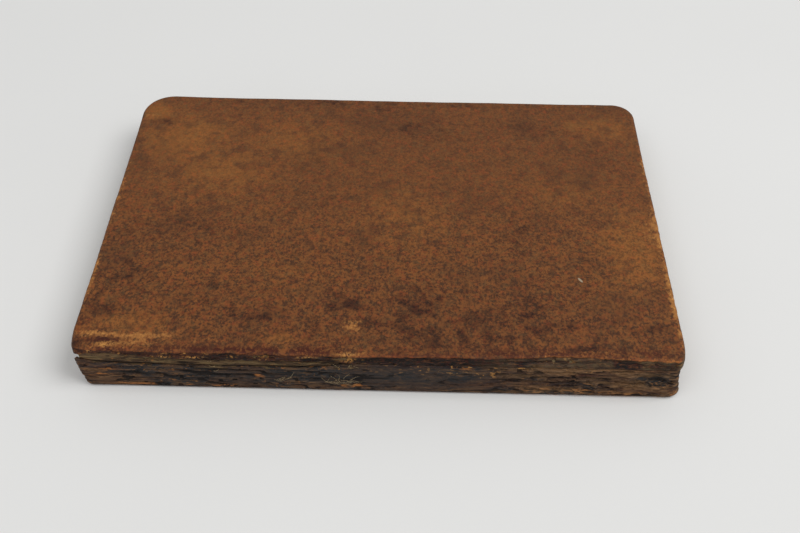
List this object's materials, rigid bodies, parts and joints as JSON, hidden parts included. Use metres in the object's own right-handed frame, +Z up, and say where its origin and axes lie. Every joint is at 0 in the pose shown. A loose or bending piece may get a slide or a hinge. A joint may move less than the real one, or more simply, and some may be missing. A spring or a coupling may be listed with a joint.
{
  "type": "antique leather book",
  "caption": "Thin small octavo in worn sprinkled calf: flat tight spine, split upper joint, round fore-edge corners, covers that open on their leather joints.",
  "frame": {"origin": "middle of the footprint, on the surface that the lower cover rests on", "axes": "+X along the spine towards the tail, +Y from the spine to the fore-edge, +Z up through the thickness"},
  "size_m": [0.1768, 0.12, 0.0162],
  "materials": {
    "cover_calf": "sprinkled brown calf, worn and slightly polished",
    "spine_calf": "darkened calf, cracked and rubbed",
    "pasteboard": "grey-brown pasted paper board",
    "endpaper": "aged laid paper, matte",
    "leaves": "aged rag paper, matte",
    "lining": "glue-stained paper",
    "hemp_cord": "twisted hemp",
    "endband_thread": "faded wound thread"
  },
  "bodies": {
    "lower_cover": {"lower_board": "pasteboard", "lower_cover_leather": "cover_calf", "lower_pastedown": "endpaper"},
    "book_body": {"text_block": "leaves", "spine_lining": "lining", "spine_leather": "spine_calf", "sewing_cord_head": "hemp_cord", "sewing_cord_middle": "hemp_cord", "sewing_cord_tail": "hemp_cord", "headband": "endband_thread", "tailband": "endband_thread"},
    "upper_cover": {"upper_board": "pasteboard", "upper_cover_leather": "cover_calf", "upper_pastedown": "endpaper"}
  },
  "joints": [
    {"name": "lower_joint", "type": "hinge", "parent": "lower_cover", "child": "book_body", "pos_m": [0, -0.06, 0.0037], "axis": [1, 0, 0], "range_deg": [0, 180]},
    {"name": "upper_joint", "type": "hinge", "parent": "book_body", "child": "upper_cover", "pos_m": [0, -0.06, 0.0125], "axis": [1, 0, 0], "range_deg": [0, 180]}
  ]
}
